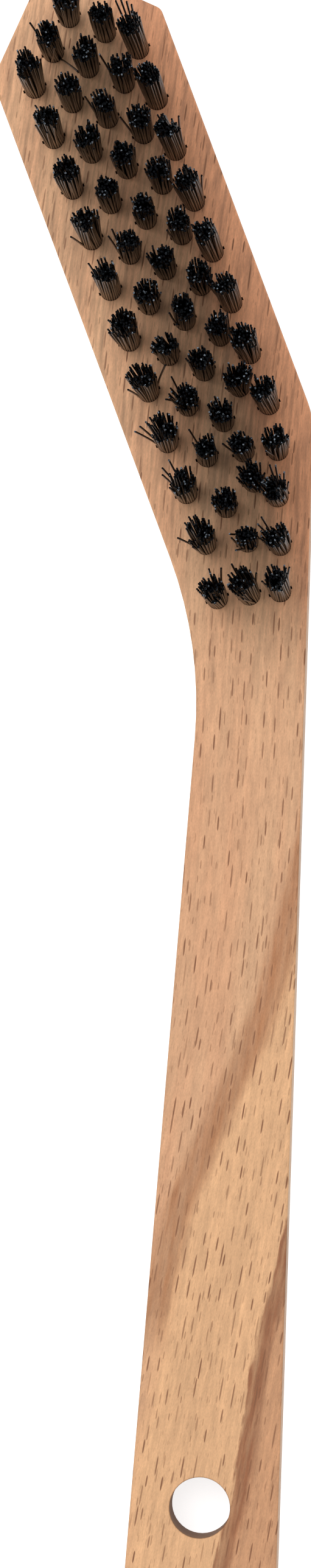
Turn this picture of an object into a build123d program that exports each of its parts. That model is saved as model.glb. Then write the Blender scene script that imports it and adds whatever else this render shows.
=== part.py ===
from build123d import *
import math
import os
from collections import namedtuple

# A hand wire brush (scratch brush): a flat beech back whose head is bent aside from the handle in its
# own plane, 54 staple-set tufts of tempered steel wire, and the flat-wire anchors that hold them.
# Frame: the origin is the centre of the hanging hole on the back face, +Y runs up the handle towards
# the head, and +Z points from the back face to the wire tips. Millimetres and degrees.

# Handle
back_thickness = 11.0
handle_end_width = 26.8
neck_width = 17.2  # across the handle where its centreline meets the head's
end_to_hole = 17.0
hole_to_bend = 169.7
end_chamfer = 5.0

# Hanging hole, bored a little off the handle's centreline
hanging_hole_diameter = 10.6
hanging_hole_offset = 0.8
hanging_rim_round = 0.3

# Head
bend_angle = 23.7
head_length = 104.4
head_width = 32.2
tip_chamfer_left = 12.0
tip_chamfer_right = 10.7

# Rounding of the back
inner_bend_radius = 73.0
outer_bend_radius = 15.0
corner_radius = 2.0
edge_round = 0.4

# Drilling of the head
tuft_pitch = 9.55
tuft_hole_diameter = 3.8
tuft_hole_depth = 8.0
first_row_distance = 2.4  # from the bend point to the first tuft of the full rows
side_margin = 6.5  # from the head's long edges to the outer rows
tip_margin = 4.5  # least room between a hole's centre and the head's cut end

# Flat-wire anchors
anchor_width = 4.2
anchor_thickness = 0.45
anchor_height = 1.8
fold_height = 1.2  # folded wire between the hole's floor and the anchor

# Wire
wire_trim = 27.0  # free length above the wood
root_recess = 0.5  # the solid part of a tuft ends this far below the wood's face
root_round = 0.6
strand_width = 0.62
ring_strands = 8
strand_ring_radius = 1.2
tuft_splay = 1.12  # how much wider a tuft is at its tips than at its root
worn_splay = 1.6  # the same for the worn tufts at the inside of the bend
worn_count = 4

# Fits
anchor_fit = 0.05
root_fit = 0.1

# Rows of tufts along the head. Places across are shares of the width between the outer rows, first at
# the bend and then at the head's tip. The first hole is a number of pitches along. The wires lean off
# the hole's axis by two angles, across and along the head.
Row = namedtuple("Row", "share_at_bend share_at_tip first_step lean_across lean_along")
rows = [
    Row(0.01, 0.00, 0.0, 0.8, 0.2),
    Row(0.31, 0.27, 0.5, 0.8, -1.9),
    Row(0.565, 0.52, 2.0, 0.8, -1.7),
    Row(0.81, 0.78, 2.5, 0.6, -1.5),
    Row(0.99, 1.02, 2.0, -0.6, 1.3),
]

# Tufts that fill the neck: pitches aside from the handle's centreline and along it from the bend point,
# then the angles by which the wires lean across and along the handle.
NeckTuft = namedtuple("NeckTuft", "across along lean_across lean_along")
neck_tufts = [
    NeckTuft(0.22, 1.63, 0.4, 0.2),
    NeckTuft(-0.40, 1.57, 0.6, -1.5),
    NeckTuft(-0.19, 1.03, 0.6, -1.3),
    NeckTuft(0.27, 0.78, 0.2, -1.1),
    NeckTuft(0.37, -0.11, -0.6, -0.6),
    NeckTuft(-0.23, -0.08, 1.1, -1.9),
    NeckTuft(0.42, -0.96, -0.8, 1.1),
    NeckTuft(-0.14, -1.05, -1.1, 1.7),
    NeckTuft(-0.73, -1.15, -0.2, 0.4),
]

Tuft = namedtuple("Tuft", "name centre lean splay")

handle_axis = Vector(0, 1)
handle_side = Vector(1, 0)
head_axis = handle_axis.rotate(Axis.Z, bend_angle)
head_side = handle_side.rotate(Axis.Z, bend_angle)
bend_point = Vector(hanging_hole_offset, hole_to_bend)
mouth_height = back_thickness
hole_floor_height = back_thickness - tuft_hole_depth
anchor_floor_height = hole_floor_height + fold_height
root_radius = tuft_hole_diameter / 2 - root_fit
overcut = 1.0


def on_handle(across, along):
    """A point by its distances from the handle's centreline and from the bend point."""
    return bend_point + handle_side * across + handle_axis * along


def on_head(across, along):
    """A point by its distances from the head's centreline and from the bend point."""
    return bend_point + head_side * across + head_axis * along


def meeting_point(line_a, line_b):
    """Where two lines meet, each given by two points."""
    start, other = line_a[0], line_b[0]
    direction_a = line_a[1] - start
    direction_b = line_b[1] - other
    turn = direction_a.cross(direction_b).Z
    along = (other - start).cross(direction_b).Z / turn
    return start + direction_a * along


def back_outline():
    """The back seen from the wire side, with its bends and corners rounded."""
    end = -(hole_to_bend + end_to_hole)
    half_end, half_neck, half_head = handle_end_width / 2, neck_width / 2, head_width / 2

    def handle_edge(side):
        return on_handle(side * half_end, end), on_handle(side * half_neck, 0)

    def head_edge(side):
        return on_head(side * half_head, 0), on_head(side * half_head, head_length)

    def end_side(side):
        return meeting_point(
            handle_edge(side), (on_handle(0, end + end_chamfer), on_handle(1, end + end_chamfer))
        )

    corners = [
        (on_handle(half_end - end_chamfer, end), corner_radius),
        (end_side(1), corner_radius),
        (meeting_point(handle_edge(1), head_edge(1)), outer_bend_radius),
        (on_head(half_head, head_length - tip_chamfer_right), corner_radius),
        (on_head(half_head - tip_chamfer_right, head_length), corner_radius),
        (on_head(tip_chamfer_left - half_head, head_length), corner_radius),
        (on_head(-half_head, head_length - tip_chamfer_left), corner_radius),
        (meeting_point(handle_edge(-1), head_edge(-1)), inner_bend_radius),
        (end_side(-1), corner_radius),
        (on_handle(end_chamfer - half_end, end), corner_radius),
    ]
    points = [point for point, _ in corners]
    radii = [radius for _, radius in corners]
    return make_face(FilletPolyline(*points, radius=radii, close=True))


def room_to_tip(across, along):
    """The distance from a point on the head to the nearest of the tip's three cut edges."""
    half_head = head_width / 2
    to_flat = head_length - along
    to_left = (half_head + across + to_flat - tip_chamfer_left) / math.sqrt(2)
    to_right = (half_head - across + to_flat - tip_chamfer_right) / math.sqrt(2)
    return min(to_flat, to_left, to_right)


def lean_off(side, axis, place):
    """How far the wires' tips stand off the hole's axis, from a row's or neck tuft's two angles."""
    across = wire_trim * math.tan(math.radians(place.lean_across))
    along = wire_trim * math.tan(math.radians(place.lean_along))
    return side * across + axis * along


def row_tufts(number, row):
    """The tufts of one row, from the bend to the last that has room before the head's tip."""
    outer = head_width / 2 - side_margin
    tufts = []
    along = first_row_distance + row.first_step * tuft_pitch
    while True:
        share = row.share_at_bend + (row.share_at_tip - row.share_at_bend) * along / head_length
        across = outer * (2 * share - 1)
        if room_to_tip(across, along) < tip_margin:
            return tufts
        worn = number == 1 and len(tufts) < worn_count
        tufts.append(
            Tuft(
                f"tuft_row_{number}_{len(tufts) + 1:02d}",
                on_head(across, along),
                lean_off(head_side, head_axis, row),
                worn_splay if worn else tuft_splay,
            )
        )
        along += tuft_pitch


def all_tufts():
    """Every tuft of the brush: five rows on the head, then those that fill the neck."""
    tufts = [tuft for number, row in enumerate(rows, 1) for tuft in row_tufts(number, row)]
    for number, place in enumerate(neck_tufts, 1):
        centre = on_handle(place.across * tuft_pitch, place.along * tuft_pitch)
        lean = lean_off(handle_side, handle_axis, place)
        tufts.append(Tuft(f"tuft_neck_{number}", centre, lean, tuft_splay))
    return tufts


def upright(centre, radius, bottom, top):
    """A vertical cylinder between two heights."""
    return Pos(centre.X, centre.Y, bottom) * extrude(Circle(radius), top - bottom)


def across_hole(centre, width, thickness, bottom, top):
    """A vertical slab that lies across a tuft hole, square to the head's length."""
    section = Rot(0, 0, bend_angle) * Rectangle(width, thickness)
    return Pos(centre.X, centre.Y, bottom) * extrude(section, top - bottom)


def tuft_socket(centre):
    """The blind hole of one tuft and the slot that its anchor cuts on the way down."""
    top = mouth_height + overcut
    hole = upright(centre, tuft_hole_diameter / 2, hole_floor_height, top)
    slot = across_hole(
        centre,
        anchor_width + 2 * anchor_fit,
        anchor_thickness + 2 * anchor_fit,
        anchor_floor_height - anchor_fit,
        top,
    )
    return hole + slot


def wooden_back(tufts):
    """The beech back with its hanging hole and the sockets of the tufts."""
    back = extrude(back_outline(), back_thickness)
    faces = back.faces().sort_by(Axis.Z)
    back = fillet(faces[0].edges() + faces[-1].edges(), edge_round)
    back -= upright(Vector(0, 0), hanging_hole_diameter / 2, -overcut, back_thickness + overcut)
    front = back.faces().sort_by(Axis.Z)[-1]
    back = fillet(front.inner_wires()[0].edges(), hanging_rim_round)
    return back - [tuft_socket(tuft.centre) for tuft in tufts]


def tuft_anchor(centre):
    """The piece of flat wire that is driven down over the folded wires."""
    bottom = anchor_floor_height
    return across_hole(centre, anchor_width, anchor_thickness, bottom, bottom + anchor_height)


def strand(centre, base, lean, splay):
    """One four-sided strand from inside the root to its tip. It stands for a few single wires."""
    bottom = mouth_height - root_recess - root_round
    length = mouth_height + wire_trim - bottom
    foot = centre + base
    drift = base * (splay - 1) + lean
    section = Pos(foot.X, foot.Y, bottom) * Rot(0, 0, bend_angle) * Rectangle(strand_width, strand_width)
    path = drift + Vector(0, 0, length)
    return extrude(section, path.length, dir=path)


def wire_tuft(tuft):
    """One tuft: the folded root, with a window for the anchor, and the strands fused into its top."""
    floor = hole_floor_height + root_fit
    root = upright(tuft.centre, root_radius, floor, mouth_height - root_recess)
    root = fillet(root.edges().group_by(Axis.Z)[0], root_round)
    window = across_hole(
        tuft.centre,
        tuft_hole_diameter,
        anchor_thickness + 2 * root_fit,
        anchor_floor_height - root_fit,
        anchor_floor_height + anchor_height + root_fit,
    )
    bases = [Vector(0, 0)]
    for step in range(ring_strands):
        bases.append(head_side.rotate(Axis.Z, 360 * step / ring_strands) * strand_ring_radius)
    strands = [strand(tuft.centre, base, tuft.lean, tuft.splay) for base in bases]
    return (root - window) + strands


def save(name, shape):
    """Writes one named piece, or group of like pieces, to its own file."""
    shape.label = name
    export_step(shape, os.path.join("parts", f"{name}.step"))


def main():
    os.makedirs("parts", exist_ok=True)
    tufts = all_tufts()
    save("wooden_back", wooden_back(tufts))
    save("tuft_anchors", Compound(children=[tuft_anchor(tuft.centre) for tuft in tufts]))
    for tuft in tufts:
        save(tuft.name, wire_tuft(tuft))
    print(f"{len(tufts)} tufts, {len(tufts) * (ring_strands + 1)} strands")


main()
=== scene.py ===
"""A hand wire brush: a bent beech back with staple-set tufts of tempered steel wire.

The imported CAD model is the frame. The beech back and the flat-wire anchors are CAD nodes that get their
finishes here. Each CAD tuft is replaced by single round wires in the same drilled hole, with the same
lean. Lengths are in millimetres until they reach a mesh or a shader, which take metres.
"""

import logging
import math
import random
from dataclasses import dataclass, field
from enum import Enum

import bmesh
import bpy
from mathutils import Matrix, Quaternion, Vector


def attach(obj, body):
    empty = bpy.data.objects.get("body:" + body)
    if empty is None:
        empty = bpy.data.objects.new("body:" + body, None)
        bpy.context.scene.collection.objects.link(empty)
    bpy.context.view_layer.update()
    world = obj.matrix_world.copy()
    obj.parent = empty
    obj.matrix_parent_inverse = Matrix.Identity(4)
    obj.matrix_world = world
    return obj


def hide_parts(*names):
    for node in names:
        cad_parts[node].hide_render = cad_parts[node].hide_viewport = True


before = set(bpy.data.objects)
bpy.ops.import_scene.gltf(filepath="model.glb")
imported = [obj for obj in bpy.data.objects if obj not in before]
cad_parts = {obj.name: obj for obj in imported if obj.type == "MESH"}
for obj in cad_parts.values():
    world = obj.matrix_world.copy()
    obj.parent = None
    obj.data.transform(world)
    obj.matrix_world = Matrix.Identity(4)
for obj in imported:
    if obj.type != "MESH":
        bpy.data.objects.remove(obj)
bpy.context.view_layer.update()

log = logging.getLogger("wire_brush")
MM = 0.001


def linear(hex_colour: str) -> tuple[float, float, float, float]:
    """Turns an sRGB colour to the linear values that a shader takes.

    Args:
        hex_colour: six hexadecimal digits, such as "D9AE80".

    Returns:
        Red, green, blue and an alpha of 1.
    """
    channels = [int(hex_colour[start : start + 2], 16) / 255 for start in (0, 2, 4)]
    red, green, blue = [c / 12.92 if c <= 0.04045 else ((c + 0.055) / 1.055) ** 2.4 for c in channels]
    return red, green, blue, 1.0


def put(
    tree: bpy.types.NodeTree, kind: str, inputs: dict[str | int, object] | None = None, **settings: object
) -> bpy.types.Node:
    """Adds one shader node, with its settings, its values and its links.

    Args:
        tree: the node tree that takes it.
        kind: the node's type name.
        inputs: a value, or the output socket to link, for each input by name or number.
        **settings: the node's own properties.

    Returns:
        The new node.
    """
    node = tree.nodes.new(kind)
    for name, value in settings.items():
        setattr(node, name, value)
    for name, value in (inputs or {}).items():
        if isinstance(value, bpy.types.NodeSocket):
            tree.links.new(value, node.inputs[name])
        else:
            node.inputs[name].default_value = value
    return node


def start_material(name: str) -> tuple[bpy.types.Material, bpy.types.NodeTree]:
    """Makes an empty node material.

    Args:
        name: the material's name.

    Returns:
        The material and its cleared node tree.
    """
    material = bpy.data.materials.new(name)
    material.use_nodes = True
    material.node_tree.nodes.clear()
    return material, material.node_tree


def seen_rays(tree: bpy.types.NodeTree, path: bpy.types.Node) -> bpy.types.NodeSocket:
    """Tells the rays that show a surface from those that only light something else.

    Args:
        tree: the material's or the world's node tree.
        path: its Light Path node.

    Returns:
        1 for a ray seen straight, in a reflection or through glass, and 0 for any other.
    """
    seen = put(
        tree,
        "ShaderNodeMath",
        {0: path.outputs["Is Camera Ray"], 1: path.outputs["Is Glossy Ray"]},
        operation="ADD",
    )
    shown = put(
        tree,
        "ShaderNodeMath",
        {0: seen.outputs[0], 1: path.outputs["Is Transmission Ray"]},
        operation="ADD",
        use_clamp=True,
    )
    return shown.outputs[0]


class Slot(Enum):
    """The record's material slots."""

    BEECH = "beech"
    WIRE = "brush_wire"
    ANCHOR = "anchor_wire"


@dataclass(frozen=True)
class BoardLine:
    """A smooth line along the board, by stations of distance along it and across it, in millimetres."""

    stations: tuple[tuple[float, float], ...]

    def across(self, tree: bpy.types.NodeTree, along: bpy.types.NodeSocket) -> bpy.types.NodeSocket:
        """Gives the line's place across the board.

        Args:
            tree: the material's node tree.
            along: the distance along the board, in metres.

        Returns:
            The line's distance across the board there, in metres.
        """
        low, high = self.stations[0][0], self.stations[-1][0]
        left = min(across for _, across in self.stations)
        right = max(across for _, across in self.stations)
        share = put(tree, "ShaderNodeMapRange", {0: along, 1: low * MM, 2: high * MM, 3: 0.0, 4: 1.0})
        line = put(tree, "ShaderNodeFloatCurve", {"Value": share.outputs[0]})
        curve = line.mapping.curves[0]
        while len(curve.points) < len(self.stations):
            curve.points.new(0.5, 0.5)
        for point, (y, x) in zip(curve.points, self.stations):
            point.location = ((y - low) / (high - low), (x - left) / (right - left))
        line.mapping.update()
        placed = put(
            tree, "ShaderNodeMapRange", {0: line.outputs[0], 1: 0.0, 2: 1.0, 3: left * MM, 4: right * MM}
        )
        return placed.outputs[0]


@dataclass(frozen=True)
class RayFleck:
    """One size of the short spindles that the wood's rays leave on a planed face, in millimetres.

    Of the cells that the spacing gives, share_seen hold a spindle, and depth is the strongest one's cover.
    """

    spacing_across: float
    spacing_along: float
    half_width: float
    half_length: float
    share_seen: float
    depth: float

    def mask(self, tree: bpy.types.NodeTree, grain: bpy.types.NodeSocket) -> bpy.types.NodeSocket:
        """Draws the spindles, each in its own cell of a stretched Voronoi pattern.

        Args:
            tree: the material's node tree.
            grain: coordinates that follow the grain, in metres.

        Returns:
            A value that is the fleck's depth inside a spindle and 0 outside.
        """
        cells = put(
            tree,
            "ShaderNodeMapping",
            {"Vector": grain, "Scale": (1 / (self.spacing_across * MM), 1 / (self.spacing_along * MM), 1.0)},
        )
        voronoi = put(
            tree,
            "ShaderNodeTexVoronoi",
            {"Vector": cells.outputs[0], "Scale": 1.0, "Randomness": 0.9},
            voronoi_dimensions="2D",
            feature="F1",
        )
        away = put(
            tree,
            "ShaderNodeVectorMath",
            {0: cells.outputs[0], 1: voronoi.outputs["Position"]},
            operation="SUBTRACT",
        )
        in_sizes = put(
            tree,
            "ShaderNodeVectorMath",
            {
                0: away.outputs[0],
                1: (self.spacing_across / self.half_width, self.spacing_along / self.half_length, 0.0),
            },
            operation="MULTIPLY",
        )
        sides = put(tree, "ShaderNodeSeparateXYZ", {0: in_sizes.outputs[0]})
        chance = put(tree, "ShaderNodeSeparateColor", {0: voronoi.outputs["Color"]})
        shorter = put(tree, "ShaderNodeMapRange", {0: chance.outputs[0], 1: 0.0, 2: 1.0, 3: 1.9, 4: 0.85})
        along = put(
            tree, "ShaderNodeMath", {0: sides.outputs[1], 1: shorter.outputs[0]}, operation="MULTIPLY"
        )
        along_squared = put(
            tree, "ShaderNodeMath", {0: along.outputs[0], 1: along.outputs[0]}, operation="MULTIPLY"
        )
        across = put(tree, "ShaderNodeMath", {0: sides.outputs[0]}, operation="ABSOLUTE")
        rod = put(
            tree,
            "ShaderNodeMath",
            {0: along_squared.outputs[0], 1: along_squared.outputs[0], 2: across.outputs[0]},
            operation="MULTIPLY_ADD",
        )
        inside = put(
            tree,
            "ShaderNodeMapRange",
            {0: rod.outputs[0], 1: 0.45, 2: 1.2, 3: 1.0, 4: 0.0},
            interpolation_type="SMOOTHSTEP",
        )
        present = put(
            tree, "ShaderNodeMath", {0: chance.outputs[1], 1: self.share_seen}, operation="LESS_THAN"
        )
        strength = put(
            tree,
            "ShaderNodeMapRange",
            {0: chance.outputs[2], 1: 0.0, 2: 1.0, 3: 0.4 * self.depth, 4: self.depth},
        )
        shown = put(
            tree, "ShaderNodeMath", {0: present.outputs[0], 1: strength.outputs[0]}, operation="MULTIPLY"
        )
        drawn = put(
            tree, "ShaderNodeMath", {0: inside.outputs[0], 1: shown.outputs[0]}, operation="MULTIPLY"
        )
        return drawn.outputs[0]


@dataclass(frozen=True)
class ToneLine:
    """A line of the board where the wood's tone changes, with a streak of heartwood along it.

    With a depth of 0 there is no streak, only the change of tone, which gives the head's right side its
    painted shade. Lengths are in millimetres.

    Attributes:
        line: the middle of the streak.
        beyond: the colour of the wood to the right of the line.
        tone_blend: how softly that colour comes in across the line.
        tone_starts: where along the board it starts to come in.
        tone_run: the length over which it comes in.
        depth: how far the streak covers the wood, from 0 to 1.
        colour: the streak's colour.
        half_width: half the width of its full strength.
        left_edge: the width over which it fades out to the left.
        right_edge: the same to the right.
        ends_at: where along the board it fades out towards the handle's end.
        end_fade: half the length over which it fades out there.
    """

    line: BoardLine
    beyond: str
    tone_blend: float = 1.0
    tone_starts: float = -40.0
    tone_run: float = 20.0
    depth: float = 0.0
    colour: str = "905A37"
    half_width: float = 1.0
    left_edge: float = 0.5
    right_edge: float = 1.6
    ends_at: float = -40.0
    end_fade: float = 6.0

    def paint(
        self,
        tree: bpy.types.NodeTree,
        sides: bpy.types.Node,
        feather: bpy.types.NodeSocket,
        lines: bpy.types.NodeSocket,
        colour: bpy.types.NodeSocket,
    ) -> bpy.types.NodeSocket:
        """Paints the streak and the wood beyond it.

        Args:
            tree: the material's node tree.
            sides: a Separate XYZ node of the Object coordinates.
            feather: a shift in metres that breaks the streak's edges up along the grain.
            lines: a value round 1 that draws finer lines in the streak.
            colour: the colour of the wood so far.

        Returns:
            The colour with the streak.
        """
        centre = self.line.across(tree, sides.outputs[1])
        off = put(tree, "ShaderNodeMath", {0: sides.outputs[0], 1: centre}, operation="SUBTRACT")
        edge = put(tree, "ShaderNodeMath", {0: off.outputs[0], 1: feather}, operation="ADD")
        past = put(
            tree,
            "ShaderNodeMapRange",
            {
                0: edge.outputs[0],
                1: -0.5 * self.tone_blend * MM,
                2: 1.5 * self.tone_blend * MM,
                3: 0.0,
                4: 1.0,
            },
            interpolation_type="SMOOTHSTEP",
        )
        begun = put(
            tree,
            "ShaderNodeMapRange",
            {
                0: sides.outputs[1],
                1: self.tone_starts * MM,
                2: (self.tone_starts + self.tone_run) * MM,
                3: 0.0,
                4: 1.0,
            },
        )
        tone = put(tree, "ShaderNodeMath", {0: past.outputs[0], 1: begun.outputs[0]}, operation="MULTIPLY")
        toned = put(
            tree,
            "ShaderNodeMix",
            {"Factor": tone.outputs[0], 6: colour, 7: linear(self.beyond)},
            data_type="RGBA",
        )
        if not self.depth:
            return toned.outputs[2]
        rise = put(
            tree,
            "ShaderNodeMapRange",
            {
                0: edge.outputs[0],
                1: -(self.half_width + self.left_edge) * MM,
                2: -self.half_width * MM,
                3: 0.0,
                4: self.depth,
            },
            interpolation_type="SMOOTHSTEP",
        )
        fall = put(
            tree,
            "ShaderNodeMapRange",
            {
                0: edge.outputs[0],
                1: self.half_width * MM,
                2: (self.half_width + self.right_edge) * MM,
                3: 1.0,
                4: 0.0,
            },
            interpolation_type="SMOOTHSTEP",
        )
        fade = put(
            tree,
            "ShaderNodeMapRange",
            {
                0: sides.outputs[1],
                1: (self.ends_at - self.end_fade) * MM,
                2: (self.ends_at + self.end_fade) * MM,
                3: 0.0,
                4: 1.0,
            },
            interpolation_type="SMOOTHSTEP",
        )
        band = put(tree, "ShaderNodeMath", {0: rise.outputs[0], 1: fall.outputs[0]}, operation="MULTIPLY")
        ended = put(tree, "ShaderNodeMath", {0: band.outputs[0], 1: fade.outputs[0]}, operation="MULTIPLY")
        lined = put(
            tree, "ShaderNodeMath", {0: ended.outputs[0], 1: lines}, operation="MULTIPLY", use_clamp=True
        )
        drawn = put(
            tree,
            "ShaderNodeMix",
            {"Factor": lined.outputs[0], 6: toned.outputs[2], 7: linear(self.colour)},
            data_type="RGBA",
        )
        return drawn.outputs[2]


@dataclass(frozen=True)
class GrainPattern:
    """Noise drawn out along the fibres: its sizes in millimetres, and the share by which it shades."""

    across: float
    along: float
    deep: float
    shade: float = 0.0

    def draw(self, tree: bpy.types.NodeTree, grain: bpy.types.NodeSocket) -> bpy.types.NodeSocket:
        """Draws the noise.

        Args:
            tree: the material's node tree.
            grain: coordinates that follow the grain, in metres.

        Returns:
            A value round 0.5.
        """
        scale = (1 / (self.across * MM), 1 / (self.along * MM), 1 / (self.deep * MM))
        scaled = put(tree, "ShaderNodeMapping", {"Vector": grain, "Scale": scale})
        noise = put(tree, "ShaderNodeTexNoise", {"Vector": scaled.outputs[0], "Scale": 1.0, "Detail": 3.0})
        return noise.outputs[0]


@dataclass(frozen=True)
class PlanedBeech:
    """Steamed beech, planed and lightly sanded, without varnish.

    To the eye: warm tan with a faint pink cast, a dull sheen, short dark ray flecks along the grain,
    two slanting bands of darker heartwood on the handle, and painted shade that makes the head's right side
    redder.
    """

    name: str = "planed_beech"
    rosy: str = "DCAB82"
    rosy_deep: str = "D09B74"
    fleck: str = "80502F"
    # Painted shade darkens the hanging hole's wall, and a painted highlight makes the upright outer faces
    # paler.
    painted_bore_shade: str = "7D5438"
    bore_radius: float = 5.5
    painted_lit_side: str = "E0C5AC"
    wall_cover: float = 0.75
    wall_fleck: float = 0.35
    ray_height: float = 5.7
    # Each layer of rays is shifted across and along the board, so that it doesn't repeat the next one.
    layer_shift: tuple[float, float] = (37.7, 21.3)
    # The head's own strokes, and the painted light that makes the head paler, come in between these distances
    # along the board.
    head_comes_in: tuple[float, float] = (125.0, 185.0)
    ragged_edge: float = 0.8
    groove_depth: float = 0.05
    rings: GrainPattern = GrainPattern(across=5.0, along=70.0, deep=12.0, shade=0.1)
    fibres: GrainPattern = GrainPattern(across=0.35, along=3.5, deep=2.0, shade=0.12)
    bundles: GrainPattern = GrainPattern(across=1.1, along=10.0, deep=5.0, shade=0.12)
    pores: GrainPattern = GrainPattern(across=0.18, along=0.45, deep=0.3, shade=0.1)
    blotches: GrainPattern = GrainPattern(across=1.2, along=2.2, deep=2.0, shade=0.05)
    strokes: GrainPattern = GrainPattern(across=0.7, along=9.0, deep=3.0)
    grain_line: BoardLine = BoardLine(
        (
            (-20, 0),
            (25, 5.4),
            (70, 10.8),
            (100, 13.6),
            (135, 14.7),
            (160, 14.8),
            (200, 16.3),
            (235, 19),
            (270, 22.5),
        )
    )
    flecks: tuple[RayFleck, ...] = (
        RayFleck(
            spacing_across=2.1,
            spacing_along=5.6,
            half_width=0.16,
            half_length=2.1,
            share_seen=0.85,
            depth=1.0,
        ),
        RayFleck(
            spacing_across=1.5,
            spacing_along=3.6,
            half_width=0.12,
            half_length=1.2,
            share_seen=0.4,
            depth=0.6,
        ),
        RayFleck(
            spacing_across=0.7,
            spacing_along=1.6,
            half_width=0.08,
            half_length=0.6,
            share_seen=0.35,
            depth=0.35,
        ),
    )
    tone_lines: tuple[ToneLine, ...] = (
        ToneLine(
            line=BoardLine(
                (
                    (5, -14),
                    (25, -10.5),
                    (38, -8.9),
                    (50, -7),
                    (59, -3.9),
                    (66, -1.5),
                    (73, 1.1),
                    (86, 6),
                    (104, 10),
                    (130, 15),
                )
            ),
            beyond="E0AE80",
            tone_blend=2.6,
            depth=0.7,
            colour="A0683F",
            half_width=1.1,
            left_edge=2.6,
            right_edge=2.6,
            ends_at=30,
        ),
        ToneLine(
            line=BoardLine(
                ((-17, 2.5), (-7, 4.7), (3, 6.7), (17, 7.9), (30, 9.4), (39, 11.3), (48, 13), (60, 16))
            ),
            beyond="CC966D",
            depth=0.9,
        ),
        # Painted shade: the head's right side is painted darker and redder, standing in for the tufts' shadow
        # and warm light bounced off the wood.
        ToneLine(
            line=BoardLine(((130, 12), (165, 4), (200, -8), (235, -22), (270, -36))),
            beyond="D2926A",
            tone_blend=4.0,
            tone_starts=140,
        ),
    )

    def _grain(self, tree: bpy.types.NodeTree, sides: bpy.types.Node) -> tuple[bpy.types.NodeSocket, ...]:
        """Lays coordinates along the board's slightly curved grain.

        Args:
            tree: the material's node tree.
            sides: a Separate XYZ node of the Object coordinates.

        Returns:
            Coordinates for tone and fibres, and coordinates for rays, which end at a ray's height.
        """
        bend = self.grain_line.across(tree, sides.outputs[1])
        across = put(tree, "ShaderNodeMath", {0: sides.outputs[0], 1: bend}, operation="SUBTRACT")
        grain = put(
            tree, "ShaderNodeCombineXYZ", {0: across.outputs[0], 1: sides.outputs[1], 2: sides.outputs[2]}
        )
        layer = put(
            tree,
            "ShaderNodeMath",
            {0: sides.outputs[2], 1: 1 / (self.ray_height * MM)},
            operation="MULTIPLY",
        )
        layer_number = put(tree, "ShaderNodeMath", {0: layer.outputs[0]}, operation="FLOOR")
        ray_across = put(
            tree,
            "ShaderNodeMath",
            {0: layer_number.outputs[0], 1: self.layer_shift[0] * MM, 2: across.outputs[0]},
            operation="MULTIPLY_ADD",
        )
        ray_along = put(
            tree,
            "ShaderNodeMath",
            {0: layer_number.outputs[0], 1: self.layer_shift[1] * MM, 2: sides.outputs[1]},
            operation="MULTIPLY_ADD",
        )
        rays = put(tree, "ShaderNodeCombineXYZ", {0: ray_across.outputs[0], 1: ray_along.outputs[0]})
        return grain.outputs[0], rays.outputs[0]

    def _toned(
        self,
        tree: bpy.types.NodeTree,
        sides: bpy.types.Node,
        rings: bpy.types.NodeSocket,
        bundles: bpy.types.NodeSocket,
        blotches: bpy.types.NodeSocket,
    ) -> bpy.types.NodeSocket:
        """Paints the wood's tones, its heartwood bands, and the painted shade on the head's right side.

        Args:
            tree: the material's node tree.
            sides: a Separate XYZ node of the Object coordinates.
            rings: the noise of the growth rings.
            bundles: the noise of the fibre bundles.
            blotches: the noise of the blotches.

        Returns:
            The colour.
        """
        ring_share = put(tree, "ShaderNodeMapRange", {0: rings, 1: 0.35, 2: 0.65, 3: 0.0, 4: 1.0})
        colour = put(
            tree,
            "ShaderNodeMix",
            {"Factor": ring_share.outputs[0], 6: linear(self.rosy), 7: linear(self.rosy_deep)},
            data_type="RGBA",
        ).outputs[2]
        ragged = put(tree, "ShaderNodeMath", {0: blotches, 1: 0.3, 2: bundles}, operation="MULTIPLY_ADD")
        shift = self.ragged_edge * MM
        feather = put(
            tree, "ShaderNodeMapRange", {0: ragged.outputs[0], 1: 0.3, 2: 1.0, 3: -shift, 4: shift}
        )
        fine_lines = put(tree, "ShaderNodeMapRange", {0: bundles, 1: 0.3, 2: 0.7, 3: 0.55, 4: 1.3})
        for streak in self.tone_lines:
            colour = streak.paint(tree, sides, feather.outputs[0], fine_lines.outputs[0], colour)
        return colour

    def _head_strokes_and_painted_light(
        self,
        tree: bpy.types.NodeTree,
        sides: bpy.types.Node,
        strokes: bpy.types.NodeSocket,
        colour: bpy.types.NodeSocket,
    ) -> bpy.types.NodeSocket:
        """Makes the head paler than the handle with painted light, and adds darker strokes along its grain.

        Args:
            tree: the material's node tree.
            sides: a Separate XYZ node of the Object coordinates.
            strokes: the noise of the strokes.
            colour: the colour of the wood so far.

        Returns:
            The colour with the strokes.
        """
        near, far = self.head_comes_in
        head = put(
            tree, "ShaderNodeMapRange", {0: sides.outputs[1], 1: near * MM, 2: far * MM, 3: 0.0, 4: 1.0}
        )
        # The strokes' range sits above 1 on the whole, which paints light onto the head.
        stroke = put(tree, "ShaderNodeMapRange", {0: strokes, 1: 0.3, 2: 0.62, 3: 0.76, 4: 1.25})
        blend = put(
            tree,
            "ShaderNodeMix",
            {"Factor": head.outputs[0], 2: 1.0, 3: stroke.outputs[0]},
            data_type="FLOAT",
        )
        stroked = put(
            tree, "ShaderNodeVectorMath", {0: colour, "Scale": blend.outputs[0]}, operation="SCALE"
        )
        return stroked.outputs[0]

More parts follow.
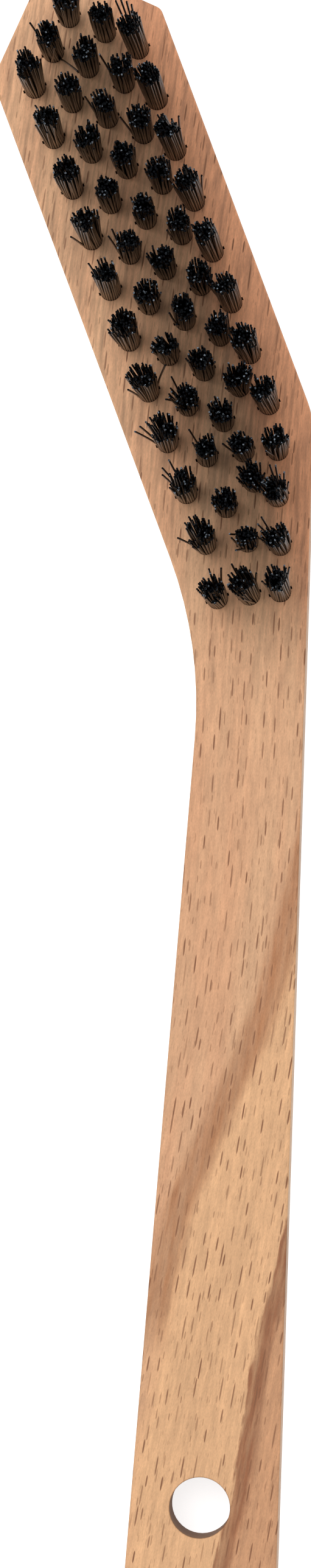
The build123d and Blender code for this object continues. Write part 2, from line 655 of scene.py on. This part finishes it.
    def _paint_wall_light_and_shade(
        self, tree: bpy.types.NodeTree, sides: bpy.types.Node, colour: bpy.types.NodeSocket
    ) -> tuple[bpy.types.NodeSocket, bpy.types.NodeSocket]:
        """Paints light and shade on the upright faces: a painted highlight, paler, on the outer sides, and
        painted shade, darker, in the hanging hole.

        Args:
            tree: the material's node tree.
            sides: a Separate XYZ node of the Object coordinates.
            colour: the colour of the wood so far.

        Returns:
            The colour with the walls, and the share by which a wall covers the wood.
        """
        normal = put(tree, "ShaderNodeNewGeometry").outputs["Normal"]
        facing = put(tree, "ShaderNodeSeparateXYZ", {0: normal})
        upright = put(tree, "ShaderNodeMath", {0: facing.outputs[2]}, operation="ABSOLUTE")
        wall = put(
            tree,
            "ShaderNodeMapRange",
            {0: upright.outputs[0], 1: 0.2, 2: 0.75, 3: self.wall_cover, 4: 0.0},
        )
        plan = put(tree, "ShaderNodeCombineXYZ", {0: sides.outputs[0], 1: sides.outputs[1]})
        away = put(tree, "ShaderNodeVectorMath", {0: plan.outputs[0]}, operation="LENGTH")
        bored = put(
            tree,
            "ShaderNodeMath",
            {0: away.outputs["Value"], 1: self.bore_radius * MM},
            operation="LESS_THAN",
        )
        wall_light_and_shade = put(
            tree,
            "ShaderNodeMix",
            {"Factor": bored.outputs[0], 6: linear(self.painted_lit_side), 7: linear(self.painted_bore_shade)},
            data_type="RGBA",
        )
        walled = put(
            tree,
            "ShaderNodeMix",
            {"Factor": wall.outputs[0], 6: colour, 7: wall_light_and_shade.outputs[2]},
            data_type="RGBA",
        )
        return walled.outputs[2], wall.outputs[0]

    def build(self) -> bpy.types.Material:
        """Builds the wood material.

        Returns:
            The material, which reads Object coordinates.
        """
        material, tree = start_material(self.name)
        place = put(tree, "ShaderNodeTexCoord").outputs["Object"]
        sides = put(tree, "ShaderNodeSeparateXYZ", {0: place})
        grain, rays = self._grain(tree, sides)
        patterns = (self.fibres, self.bundles, self.pores, self.rings, self.blotches)
        noises = {pattern: pattern.draw(tree, grain) for pattern in patterns}
        colour = self._toned(tree, sides, noises[self.rings], noises[self.bundles], noises[self.blotches])
        for pattern, noise in noises.items():
            low, high = 1 - pattern.shade, 1 + pattern.shade
            shade = put(tree, "ShaderNodeMapRange", {0: noise, 1: 0.25, 2: 0.75, 3: low, 4: high})
            colour = put(
                tree, "ShaderNodeVectorMath", {0: colour, "Scale": shade.outputs[0]}, operation="SCALE"
            ).outputs[0]
        colour = self._head_strokes_and_painted_light(tree, sides, self.strokes.draw(tree, grain), colour)
        colour, wall = self._paint_wall_light_and_shade(tree, sides, colour)
        # Flecks show less on the walls, where the rays are cut across.
        faint = put(
            tree, "ShaderNodeMapRange", {0: wall, 1: 0.0, 2: self.wall_cover, 3: 1.0, 4: self.wall_fleck}
        )
        masks = [
            put(
                tree, "ShaderNodeMath", {0: size.mask(tree, rays), 1: faint.outputs[0]}, operation="MULTIPLY"
            ).outputs[0]
            for size in self.flecks
        ]
        for mask in masks:
            colour = put(
                tree, "ShaderNodeMix", {"Factor": mask, 6: colour, 7: linear(self.fleck)}, data_type="RGBA"
            ).outputs[2]
        grooves = put(tree, "ShaderNodeMath", {0: noises[self.fibres], 1: masks[0]}, operation="SUBTRACT")
        bump = put(
            tree,
            "ShaderNodeBump",
            {"Height": grooves.outputs[0], "Strength": 0.3, "Distance": self.groove_depth * MM},
        )
        shader = put(
            tree,
            "ShaderNodeBsdfPrincipled",
            {"Base Color": colour, "Roughness": 0.6, "IOR": 1.5, "Normal": bump.outputs[0]},
        )
        put(tree, "ShaderNodeOutputMaterial", {"Surface": shader.outputs[0]})
        return material


@dataclass(frozen=True)
class TemperedWire:
    """Oil-tempered spring steel wire, drawn round.

    To the eye: smooth metal, brown from temper scale and a painted reflection of the wood, darkened towards
    the ends by painted shade, each wire in its own tone.
    """

    name: str = "tempered_steel_wire"
    # The steel's brown cast is partly temper scale and partly a painted reflection of the wood that the sides
    # mirror.
    steel: str = "75634F"
    scale: str = "3F362D"
    tip_shade_colour: str = "0C0D0E"
    patch_size: float = 1.6
    wire_shades: tuple[float, float] = (0.35, 1.35)
    unshaded_below: float = 18.0
    dark_above: float = 32.5
    blackest: float = 0.92
    roughness: float = 0.38

    def build(self) -> bpy.types.Material:
        """Builds the material of the wires' sides.

        Returns:
            The material, which reads Object coordinates.
        """
        material, tree = start_material(self.name)
        place = put(tree, "ShaderNodeTexCoord").outputs["Object"]
        # Temper scale changes every few millimetres along a wire.
        patches = put(
            tree,
            "ShaderNodeTexNoise",
            {"Vector": place, "Scale": 1 / (self.patch_size * MM), "Detail": 3.0},
        )
        worn = put(
            tree, "ShaderNodeMapRange", {0: patches.outputs[0], 1: 0.35, 2: 0.7, 3: 0.0, 4: 1.0}
        )
        colour = put(
            tree,
            "ShaderNodeMix",
            {"Factor": worn.outputs[0], 6: linear(self.steel), 7: linear(self.scale)},
            data_type="RGBA",
        )
        # Each wire has its own shade, so that a tuft shows fine lines down its sides.
        wire = put(tree, "ShaderNodeAttribute", attribute_name="wire")
        chance = put(
            tree, "ShaderNodeTexWhiteNoise", {"W": wire.outputs["Fac"]}, noise_dimensions="1D"
        )
        darkest, lightest = self.wire_shades
        shade = put(
            tree, "ShaderNodeMapRange", {0: chance.outputs[0], 1: 0.0, 2: 1.0, 3: darkest, 4: lightest}
        )
        own = put(
            tree,
            "ShaderNodeVectorMath",
            {0: colour.outputs[2], "Scale": shade.outputs[0]},
            operation="SCALE",
        )
        # Painted shade: the sides are painted nearly black towards the ends, standing in for the shadow among
        # the crowded wires.
        height = put(tree, "ShaderNodeSeparateXYZ", {0: place})
        black = put(
            tree,
            "ShaderNodeMapRange",
            {
                0: height.outputs[2],
                1: self.unshaded_below * MM,
                2: self.dark_above * MM,
                3: 0.0,
                4: self.blackest,
            },
            interpolation_type="SMOOTHSTEP",
        )
        tip_shaded = put(
            tree,
            "ShaderNodeMix",
            {"Factor": black.outputs[0], 6: own.outputs[0], 7: linear(self.tip_shade_colour)},
            data_type="RGBA",
        )
        shader = put(
            tree,
            "ShaderNodeBsdfPrincipled",
            {"Base Color": tip_shaded.outputs[2], "Metallic": 1.0, "Roughness": self.roughness},
        )
        put(tree, "ShaderNodeOutputMaterial", {"Surface": shader.outputs[0]})
        return material


@dataclass(frozen=True)
class ShearedEnd:
    """The sheared ends of the same wire. To the eye: small dark faces, torn and dull, with a few painted
    glints.
    """

    name: str = "sheared_wire_end"
    # The ends' near-black is partly dull oxide and partly a painted dark reflection of the room above.
    steel: str = "0F1113"
    torn: str = "060708"
    painted_glint: str = "565D64"
    painted_glint_share: float = 0.18
    tear_size: float = 0.25
    roughness: float = 0.45

    def build(self) -> bpy.types.Material:
        """Builds the material of the wires' ends.

        Returns:
            The material, which reads Object coordinates.
        """
        material, tree = start_material(self.name)
        place = put(tree, "ShaderNodeTexCoord").outputs["Object"]
        tears = put(
            tree,
            "ShaderNodeTexNoise",
            {"Vector": place, "Scale": 1 / (self.tear_size * MM), "Detail": 2.0},
        )
        dull = put(
            tree,
            "ShaderNodeMix",
            {"Factor": tears.outputs[0], 6: linear(self.steel), 7: linear(self.torn)},
            data_type="RGBA",
        )
        # Painted glints: on a share of the wires the ends get lighter spots, standing in for highlights off
        # the cut faces.
        wire = put(tree, "ShaderNodeAttribute", attribute_name="wire")
        chance = put(
            tree, "ShaderNodeTexWhiteNoise", {"W": wire.outputs["Fac"]}, noise_dimensions="1D"
        )
        glint_chosen = put(
            tree,
            "ShaderNodeMath",
            {0: chance.outputs[0], 1: self.painted_glint_share},
            operation="LESS_THAN",
        )
        spots = put(
            tree,
            "ShaderNodeMapRange",
            {0: tears.outputs[0], 1: 0.45, 2: 0.6, 3: 0.0, 4: 1.0},
            interpolation_type="SMOOTHSTEP",
        )
        glint = put(
            tree, "ShaderNodeMath", {0: glint_chosen.outputs[0], 1: spots.outputs[0]}, operation="MULTIPLY"
        )
        colour = put(
            tree,
            "ShaderNodeMix",
            {"Factor": glint.outputs[0], 6: dull.outputs[2], 7: linear(self.painted_glint)},
            data_type="RGBA",
        )
        shader = put(
            tree,
            "ShaderNodeBsdfPrincipled",
            {"Base Color": colour.outputs[2], "Metallic": 1.0, "Roughness": self.roughness},
        )
        put(tree, "ShaderNodeOutputMaterial", {"Surface": shader.outputs[0]})
        return material


@dataclass(frozen=True)
class FlatAnchorWire:
    """Flat drawn steel, cut to short lengths. To the eye: plain grey metal down in the holes."""

    name: str = "flat_anchor_wire"
    steel: str = "8E8F90"
    line_length: float = 2.5
    line_width: float = 0.125

    def build(self) -> bpy.types.Material:
        """Builds the material of the anchors.

        Returns:
            The material, which reads Object coordinates.
        """
        material, tree = start_material(self.name)
        place = put(tree, "ShaderNodeTexCoord").outputs["Object"]
        along, across = 1 / (self.line_length * MM), 1 / (self.line_width * MM)
        drawn = put(tree, "ShaderNodeMapping", {"Vector": place, "Scale": (along, across, across)})
        lines = put(tree, "ShaderNodeTexNoise", {"Vector": drawn.outputs[0], "Scale": 1.0})
        roughness = put(
            tree, "ShaderNodeMapRange", {0: lines.outputs[0], 1: 0.3, 2: 0.7, 3: 0.3, 4: 0.5}
        )
        shader = put(
            tree,
            "ShaderNodeBsdfPrincipled",
            {"Base Color": linear(self.steel), "Metallic": 1.0, "Roughness": roughness.outputs[0]},
        )
        put(tree, "ShaderNodeOutputMaterial", {"Surface": shader.outputs[0]})
        return material


@dataclass(frozen=True)
class Sweep:
    """Matt white paper under the brush. To the eye: plain white with a faint shadow."""

    name: str = "white_paper"
    paper: str = "E8E8E8"
    lift: float = 0.45
    mirrored_lift: float = 0.3

    def build(self) -> bpy.types.Material:
        """Builds the paper, lifted to white where it is seen straight or in a reflection.

        Returns:
            The material.
        """
        material, tree = start_material(self.name)
        path = put(tree, "ShaderNodeLightPath")
        mirrored = put(
            tree,
            "ShaderNodeMath",
            {0: seen_rays(tree, path), 1: self.mirrored_lift},
            operation="MULTIPLY",
        )
        strength = put(
            tree,
            "ShaderNodeMath",
            {0: path.outputs["Is Camera Ray"], 1: self.lift, 2: mirrored.outputs[0]},
            operation="MULTIPLY_ADD",
        )
        paper = put(tree, "ShaderNodeBsdfDiffuse", {"Color": linear(self.paper)})
        glow = put(
            tree, "ShaderNodeEmission", {"Color": linear("FFFFFF"), "Strength": strength.outputs[0]}
        )
        both = put(tree, "ShaderNodeAddShader", {0: paper.outputs[0], 1: glow.outputs[0]})
        put(tree, "ShaderNodeOutputMaterial", {"Surface": both.outputs[0]})
        return material


@dataclass
class BeechBack:
    """The wooden back, a CAD node that keeps its shape and gets its finish here."""

    node: str = "wooden_back"
    finish: PlanedBeech = field(default_factory=PlanedBeech)

    def dress(self) -> None:
        """Gives the back its wood."""
        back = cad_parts[self.node]
        back.data.materials.clear()
        back.data.materials.append(self.finish.build())
        log.info("%s: dressed", self.node)


@dataclass
class AnchorSet:
    """The flat-wire anchors, a CAD node that keeps its shape and gets its finish here."""

    node: str = "tuft_anchors"
    finish: FlatAnchorWire = field(default_factory=FlatAnchorWire)

    def dress(self) -> None:
        """Gives the anchors their steel."""
        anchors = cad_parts[self.node]
        anchors.data.materials.clear()
        anchors.data.materials.append(self.finish.build())
        log.info("%s: dressed", self.node)


@dataclass(frozen=True)
class Wire:
    """One wire: where it leaves the hole, where it ends, and how far it bows on the way, in millimetres."""

    root: Vector
    mouth: Vector
    tip: Vector
    bow: Vector

    def point(self, share: float) -> Vector:
        """The wire's centre at a share of the way from its root to its tip."""
        if share <= 0:
            return self.root
        straight = self.mouth.lerp(self.tip, share)
        return straight + self.bow * (4 * share * (1 - share))


@dataclass
class WireTuft:
    """One staple-set tuft: single wires that stand in a drilled hole and fan out a little to their ends."""

    node: str
    number: int
    loose: tuple[tuple[float, float], ...] = ()
    wire_diameter: float = 0.37
    wire_spacing: float = 0.39
    hole_slack: float = 0.01
    crown_spread: float = 1.12
    crown_inset: float = 0.05
    widest_spread: float = 1.35
    fanning: tuple[float, float] = (0.94, 1.12)
    hole_radius: float = 1.9
    mouth_height: float = 11.0
    root_height: float = 6.6
    head_angle: float = 23.7
    facets: int = 7
    scatter: float = 0.13
    bunches: int = 6
    bunch_scatter: float = 0.25
    stray_share: float = 0.05
    stray_scatter: float = 0.7
    least_trim: float = 0.12
    uneven_trim: float = 2.6
    trim_skew: float = 1.7
    bow_scatter: float = 0.06
    loose_bow: float = 0.06
    loose_trim: float = 0.3
    fold_lean: float = 0.3
    shear_tilts: tuple[float, float] = (2.0, 24.0)
    ids_per_tuft: int = 1000
    levels: tuple[float, ...] = (0.0, 0.35, 0.7, 1.0)

    def __post_init__(self) -> None:
        """Reads the tuft's place, lean and splay from its CAD node, and draws how its bunches lean."""
        points = [vertex.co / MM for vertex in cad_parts[self.node].data.vertices]
        self.top = max(point.z for point in points)
        lowest = min(point.z for point in points)
        self.centre = self._middle([point for point in points if point.z < lowest + 0.01])
        ends = [point for point in points if point.z > self.top - 0.01]
        self.tip_centre = self._middle(ends)
        self.tip_radius = max((point.xy - self.tip_centre).length for point in ends)
        self.ring_radius = self.hole_radius - self.wire_diameter / 2 - self.hole_slack
        self.draw = random.Random(self.node)
        self.bunch_leans = [
            (
                Vector((self.draw.uniform(-1, 1), self.draw.uniform(-1, 1))) * self.ring_radius,
                self._scattered(self.bunch_scatter),
            )
            for _ in range(self.bunches)
        ]
        self.fanned = self.draw.uniform(*self.fanning)

    @staticmethod
    def _middle(points: list[Vector]) -> Vector:
        """The middle of the box round some points, seen from above."""
        across = [point.x for point in points]
        along = [point.y for point in points]
        return Vector(((min(across) + max(across)) / 2, (min(along) + max(along)) / 2))

    def _scattered(self, spread: float) -> Vector:
        """Draws a random step across and along."""
        return Vector((self.draw.gauss(0, spread), self.draw.gauss(0, spread)))

    def _wires(self) -> list[Wire]:
        """Packs the wires in the hole, ring inside ring, and lets each stray a little from its neighbours.

        Returns:
            The tuft's wires.
        """
        wires = []
        ring = self.ring_radius
        while ring > 0:
            count = max(1, int(2 * math.pi * ring / self.wire_spacing))
            start = self.draw.uniform(0, 2 * math.pi)
            for step in range(count):
                spot = Vector((ring, 0))
                spot.rotate(Matrix.Rotation(start + 2 * math.pi * step / count, 2))
                wires.append(self._wire(spot))
            ring -= self.wire_spacing
        for across, along in self.loose:
            end = Vector((across, along))
            end.rotate(Matrix.Rotation(math.radians(self.head_angle), 2))
            foot = end.normalized() * self.ring_radius
            nearest = min(wires, key=lambda wire: (wire.mouth.xy - self.centre - foot).length)
            wires.remove(nearest)
            wires.append(self._loose_wire(nearest, end))
        return wires

    def _loose_wire(self, wire: Wire, end: Vector) -> Wire:
        """Bends one wire out of the tuft.

        Args:
            wire: the wire as it stands in the tuft.
            end: where its end is, from the hole's centre.

        Returns:
            The same wire, bent out.
        """
        reach = self.top - self.mouth_height
        tip = self.centre + end
        drift = tip - wire.mouth.xy
        # A bent wire stands lower, as its length stays the same, but at least half as high.
        rise = math.sqrt(max(reach**2 - drift.length_squared, 0.25 * reach**2))
        height = self.mouth_height + rise - self.loose_trim
        bow = Vector((-drift.x, -drift.y, 0)) * self.loose_bow
        return Wire(wire.root, wire.mouth, Vector((tip.x, tip.y, height)), bow)

    def _wire(self, spot: Vector) -> Wire:
        """Sets out one wire.

        Args:
            spot: the wire's place in the hole, from the hole's centre.

        Returns:
            The wire.
        """
        crown = self.crown_spread * self.fanned * (self.tip_radius - self.crown_inset)
        spread = min(crown / self.ring_radius, self.widest_spread)
        stray = self.draw.random() < self.stray_share
        scatter = self.stray_scatter if stray else self.scatter
        _, bunch = min(self.bunch_leans, key=lambda lean: (lean[0] - spot).length)
        tip = self.tip_centre + spot * spread + bunch + self._scattered(scatter)
        foot = self.centre + spot
        drift = tip - foot
        reach = self.top - self.mouth_height
        trim = self.least_trim + self.draw.random() ** self.trim_skew * self.uneven_trim
        height = self.top - trim - drift.length_squared / (2 * reach)
        below = self.mouth_height - self.root_height
        root = foot - drift * (below / reach) * self.fold_lean
        inward = self.centre - root
        if inward.length > self.ring_radius:
            root = self.centre - inward.normalized() * self.ring_radius
        bow = self._scattered(self.bow_scatter).to_3d()
        return Wire(
            Vector((root.x, root.y, self.root_height)),
            Vector((foot.x, foot.y, self.mouth_height)),
            Vector((tip.x, tip.y, height)),
            bow,
        )

    def build(self, finishes: tuple[bpy.types.Material, bpy.types.Material]) -> bpy.types.Object:
        """Builds the tuft's wires as one piece.

        Args:
            finishes: the materials of the wires' sides and of their ends.

        Returns:
            The piece, which stands for the CAD tuft.
        """
        wires = self._wires()
        bm = bmesh.new()
        number = bm.faces.layers.int.new("wire")
        first = self.number * self.ids_per_tuft
        ends: list[bmesh.types.BMFace] = []
        for index, wire in enumerate(wires):
            place = Matrix.Translation(wire.root * MM)
            made = bmesh.ops.create_circle(
                bm, cap_ends=True, segments=self.facets, radius=self.wire_diameter / 2 * MM, matrix=place
            )
            face = made["verts"][0].link_faces[0]
            face[number] = first + index
            ends.append(face)
        steps = [(None, 0.0)] + [(before, after) for before, after in zip(self.levels, self.levels[1:])]
        for before, after in steps:
            made = bmesh.ops.extrude_face_region(bm, geom=ends, use_keep_orig=before is None)
            ends = [part for part in made["geom"] if isinstance(part, bmesh.types.BMFace)]
            for face in ends:
                wire = wires[face[number] - first]
                here = wire.root if before is None else wire.point(before) if before else wire.mouth
                there = wire.point(after) if after else wire.mouth
                bmesh.ops.translate(bm, vec=(there - here) * MM, verts=face.verts)
        for face in ends:
            tilt = Quaternion(
                Vector((self.draw.uniform(-1, 1), self.draw.uniform(-1, 1), 0)).normalized(),
                math.radians(self.draw.uniform(*self.shear_tilts)),
            )
            middle = face.calc_center_median()
            bmesh.ops.rotate(bm, cent=middle, matrix=tilt.to_matrix(), verts=face.verts)
        tips = set(ends)
        bmesh.ops.recalc_face_normals(bm, faces=bm.faces)
        for face in bm.faces:
            face.smooth = len(face.verts) == 4
            face.material_index = 1 if face in tips else 0
            if len(face.verts) != 4:
                for edge in face.edges:
                    edge.smooth = False
        name = self.node.replace("tuft", "wires")
        mesh = bpy.data.meshes.new(name)
        bm.to_mesh(mesh)
        bm.free()
        piece = bpy.data.objects.new(name, mesh)
        bpy.context.scene.collection.objects.link(piece)
        for finish in finishes:
            mesh.materials.append(finish)
        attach(piece, "root")
        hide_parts(self.node)
        log.info("%s: %d wires, %d faces", name, len(wires), len(mesh.polygons))
        return piece


@dataclass
class TuftField:
    """All the tufts of the brush."""

    side_finish: TemperedWire = field(default_factory=TemperedWire)
    end_finish: ShearedEnd = field(default_factory=ShearedEnd)
    # Wires that stand out of their tufts: where each ends, across and along the head from its hole.
    loose_wires: dict[str, tuple[tuple[float, float], ...]] = field(
        default_factory=lambda: {
            "tuft_row_1_01": ((-3.7, 0.4), (-1.7, 2.4), (-0.7, 3.1), (0.6, 2.6), (2.3, 1.4)),
            "tuft_row_1_02": ((-2.0, 3.0), (-2.4, 1.9), (-0.5, 3.9), (2.5, 1.6)),
            "tuft_row_1_03": ((-4.2, 1.0), (-3.1, 1.5), (-1.9, 1.9), (0.9, 2.8)),
            "tuft_row_1_04": ((-2.8, -1.4), (2.1, 1.2), (2.9, 0.4), (4.6, 0.3)),
            "tuft_row_1_06": ((-1.6, 2.2),),
            "tuft_row_2_02": ((-1.1, 2.8),),
            "tuft_row_2_03": ((-0.7, 2.8),),
            "tuft_row_2_06": ((-2.2, 0.6),),
            "tuft_row_2_10": ((3.0, -8.9),),
            "tuft_row_4_06": ((-2.8, 0.0),),
            "tuft_row_4_07": ((-2.3, 1.9),),
            "tuft_row_5_05": ((2.6, 0.0),),
            "tuft_row_5_06": ((2.4, 1.4),),
            "tuft_row_5_07": ((-2.4, 3.7),),
            "tuft_row_5_08": ((-0.9, 4.8), (0.0, 4.6), (0.8, 4.0), (1.4, 3.2)),
            "tuft_neck_4": ((0.6, 3.2), (1.5, 2.8)),
            "tuft_neck_5": ((-1.3, 3.5), (-2.3, 2.6), (-2.2, 1.3)),
            "tuft_neck_7": ((0.3, 2.9), (2.3, 2.0), (3.0, 1.4), (-2.2, 0.8)),
            "tuft_neck_8": ((-0.8, 4.0), (-2.0, 2.5), (2.6, 1.1)),
            "tuft_neck_9": ((0.8, 3.2), (2.8, 2.6)),
        }
    )

    def build(self) -> None:
        """Builds each tuft in the place of its CAD node."""
        finishes = self.side_finish.build(), self.end_finish.build()
        nodes = [node for node in sorted(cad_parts) if node.startswith(("tuft_row", "tuft_neck"))]
        for number, node in enumerate(nodes):
            WireTuft(node, number, self.loose_wires.get(node, ())).build(finishes)


@dataclass
class Studio:
    """The floor, the soft light and the camera."""

    camera_place: tuple[float, float, float] = (40.66, 91.33, 1086.0)
    camera_aim: tuple[float, float, float] = (-15.08, 125.62, 11.0)
    camera_roll: float = 3.31
    lens: float = 141.22
    paper: Sweep = field(default_factory=Sweep)

    def build(self) -> None:
        """Sets up the whole studio."""
        self._floor()
        self._world()
        self._lamp("key", place=(-340, 400, 1000), size=900, power=6.2)
        self._lamp("fill", place=(700, -300, 800), size=900, power=1.4)
        self._camera()
        bpy.context.scene.view_settings.view_transform = "Standard"

    def _floor(self) -> None:
        """Lays the paper under the brush."""
        bm = bmesh.new()
        bmesh.ops.create_grid(bm, x_segments=1, y_segments=1, size=3.0)
        bmesh.ops.translate(bm, vec=(0, 0.1, -0.05 * MM), verts=bm.verts)
        mesh = bpy.data.meshes.new("paper_sweep")
        bm.to_mesh(mesh)
        bm.free()
        floor = bpy.data.objects.new("paper_sweep", mesh)
        mesh.materials.append(self.paper.build())
        bpy.context.scene.collection.objects.link(floor)

    def _world(self) -> None:
        """Fills the room with soft light, and shows it white."""
        world = bpy.data.worlds.new("room")
        bpy.context.scene.world = world
        world.use_nodes = True
        tree = world.node_tree
        tree.nodes.clear()
        shown = seen_rays(tree, put(tree, "ShaderNodeLightPath"))
        soft = put(tree, "ShaderNodeBackground", {"Color": linear("FFFFFF"), "Strength": 0.5})
        white = put(tree, "ShaderNodeBackground", {"Color": linear("FFFFFF"), "Strength": 1.0})
        both = put(tree, "ShaderNodeMixShader", {0: shown, 1: soft.outputs[0], 2: white.outputs[0]})
        put(tree, "ShaderNodeOutputWorld", {"Surface": both.outputs[0]})

    def _lamp(self, name: str, place: tuple[float, float, float], size: float, power: float) -> None:
        """Hangs one soft box, aimed at the brush.

        Args:
            name: the lamp's name.
            place: its centre, in millimetres.
            size: its side, in millimetres.
            power: its power, in watts.
        """
        light = bpy.data.lights.new(name, "AREA")
        light.shape = "SQUARE"
        light.size = size * MM
        light.energy = power
        lamp = bpy.data.objects.new(name, light)
        lamp.location = Vector(place) * MM
        aim = Vector((-0.01, 0.13, 0.0)) - lamp.location
        lamp.rotation_euler = aim.to_track_quat("-Z", "Y").to_euler()
        bpy.context.scene.collection.objects.link(lamp)

    def _camera(self) -> None:
        """Sets the camera high over the handle, aimed a little aside, with the brush upright in the frame."""
        data = bpy.data.cameras.new("camera")
        data.sensor_width = 36.0
        data.lens = self.lens
        data.clip_start = 0.05
        data.clip_end = 20.0
        camera = bpy.data.objects.new("camera", data)
        place = Vector(self.camera_place) * MM
        forward = (Vector(self.camera_aim) * MM - place).normalized()
        level = Quaternion((0, 0, 1), math.radians(self.camera_roll))
        swing = Vector((0, 0, -1)).rotation_difference(forward)
        camera.rotation_mode = "QUATERNION"
        camera.rotation_quaternion = swing @ level
        camera.location = place
        bpy.context.scene.collection.objects.link(camera)
        bpy.context.scene.camera = camera


def main() -> None:
    """Builds the brush and its studio."""
    logging.basicConfig(level=logging.INFO, format="%(name)s %(message)s")
    BeechBack().dress()
    AnchorSet().dress()
    TuftField().build()
    Studio().build()


if __name__ == "__main__":
    main()
